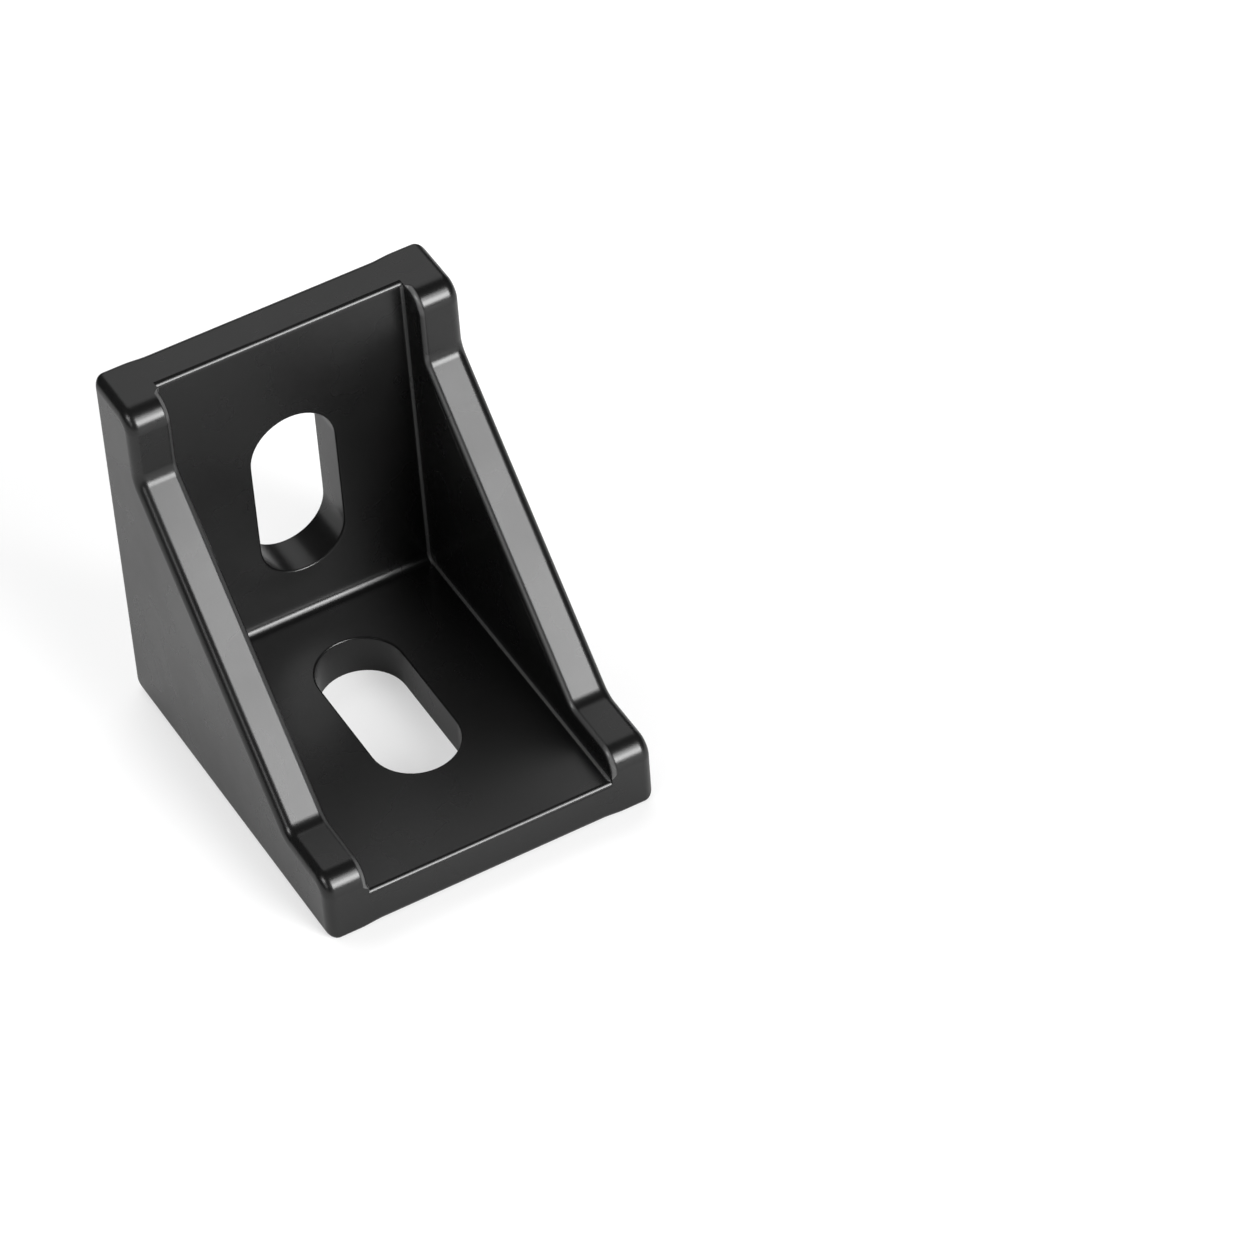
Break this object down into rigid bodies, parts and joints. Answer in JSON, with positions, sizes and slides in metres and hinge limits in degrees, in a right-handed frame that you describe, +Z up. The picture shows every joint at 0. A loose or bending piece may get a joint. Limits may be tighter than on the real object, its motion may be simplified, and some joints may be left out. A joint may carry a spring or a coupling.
{
  "type": "corner bracket",
  "caption": "Right-angle corner bracket: slotted base and wall plates joined by a sloping cheek on each side, with groove keys on the wall's outer face.",
  "frame": {"origin": "middle of the base slot, on the base's outer face, which the bracket lies on", "axes": "+Z up along the wall leg; +Y out of the wall's outer face, so the base leg runs towards -Y; +X across the width, along the outer corner"},
  "size_m": [0.0344, 0.0421, 0.04],
  "materials": {
    "black_coat": "satin black powder coat on die-cast aluminium"
  },
  "bodies": {
    "root": {"bracket": "black_coat"}
  },
  "joints": []
}
